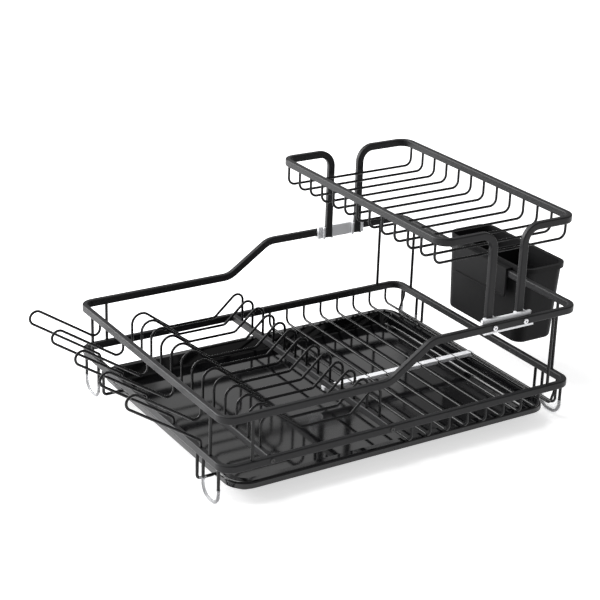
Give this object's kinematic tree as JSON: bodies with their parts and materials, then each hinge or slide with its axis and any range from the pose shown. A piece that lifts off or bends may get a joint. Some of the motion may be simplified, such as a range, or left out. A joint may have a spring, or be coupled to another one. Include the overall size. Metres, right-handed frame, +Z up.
{
  "type": "dish drying rack",
  "caption": "Black wire dish drying rack with plate slots, cup loops, raised shelf, hanging cutlery box and a drip tray that slides out.",
  "frame": {"origin": "on the table, under the middle of the rack's overall length and width", "axes": "+X along the rack towards the cutlery holder, +Y towards the back, -Y is the front where the tray comes out, +Z up"},
  "size_m": [0.5558, 0.325, 0.231],
  "materials": {
    "black_bar": "satin black powder coat",
    "black_wire": "smooth black coating with a soft gloss",
    "dark_screw": "black oxide",
    "bright_screw": "bright, with a dark socket",
    "clear_plastic": "clear with a faint blue tint",
    "tray_black": "mirror gloss",
    "holder_black": "fine satin"
  },
  "bodies": {
    "frame": {"lower_ring": "black_bar", "upper_rail": "black_bar", "corner_posts": "black_wire", "plate_crossbar_left": "black_bar", "plate_crossbar_mid": "black_bar", "crossbar_screws": "dark_screw", "rail_screws": "bright_screw", "plate_wire_01": "black_wire", "plate_wire_02": "black_wire", "plate_wire_03": "black_wire", "plate_wire_04": "black_wire", "plate_wire_05": "black_wire", "plate_wire_06": "black_wire", "plate_wire_07": "black_wire", "plate_wire_08": "black_wire", "plate_wire_09": "black_wire", "plate_wire_10": "black_wire", "plate_wire_11": "black_wire", "plate_wire_12": "black_wire", "plate_wire_13": "black_wire", "deck_wire_1": "black_wire", "deck_wire_2": "black_wire", "deck_wire_3": "black_wire", "deck_wire_4": "black_wire", "deck_wire_5": "black_wire", "deck_wire_6": "black_wire", "deck_wire_7": "black_wire", "deck_wire_8": "black_wire", "deck_wire_9": "black_wire", "deck_support_strip": "clear_plastic", "cup_loop_1": "black_wire", "cup_loop_2": "black_wire", "cup_loop_3": "black_wire", "cup_loop_4": "black_wire", "cup_loop_5": "black_wire", "shelf_wire_01": "black_wire", "shelf_wire_02": "black_wire", "shelf_wire_03": "black_wire", "shelf_wire_04": "black_wire", "shelf_wire_05": "black_wire", "shelf_wire_06": "black_wire", "shelf_wire_07": "black_wire", "shelf_wire_08": "black_wire", "shelf_wire_09": "black_wire", "shelf_wire_10": "black_wire", "shelf_wire_11": "black_wire", "shelf_wire_12": "black_wire", "shelf_wire_13": "black_wire", "shelf_bar_left": "black_bar", "shelf_bar_right": "black_bar", "shelf_clip_front": "clear_plastic", "shelf_clip_back": "clear_plastic", "foot_wires": "black_wire", "foot_boots": "clear_plastic", "tray_support_left": "black_wire", "tray_support_right": "black_wire", "tray_side_rail": "black_wire"},
    "drip_tray": {"drip_tray": "tray_black"},
    "cutlery_holder": {"cutlery_holder": "holder_black"}
  },
  "joints": [
    {"name": "tray_slide", "type": "slide", "parent": "frame", "child": "drip_tray", "axis": [0, -1, 0], "range_m": [0, 0.3]},
    {"name": "holder_lift", "type": "slide", "parent": "frame", "child": "cutlery_holder", "axis": [0, 0, 1], "range_m": [0, 0.05]}
  ]
}
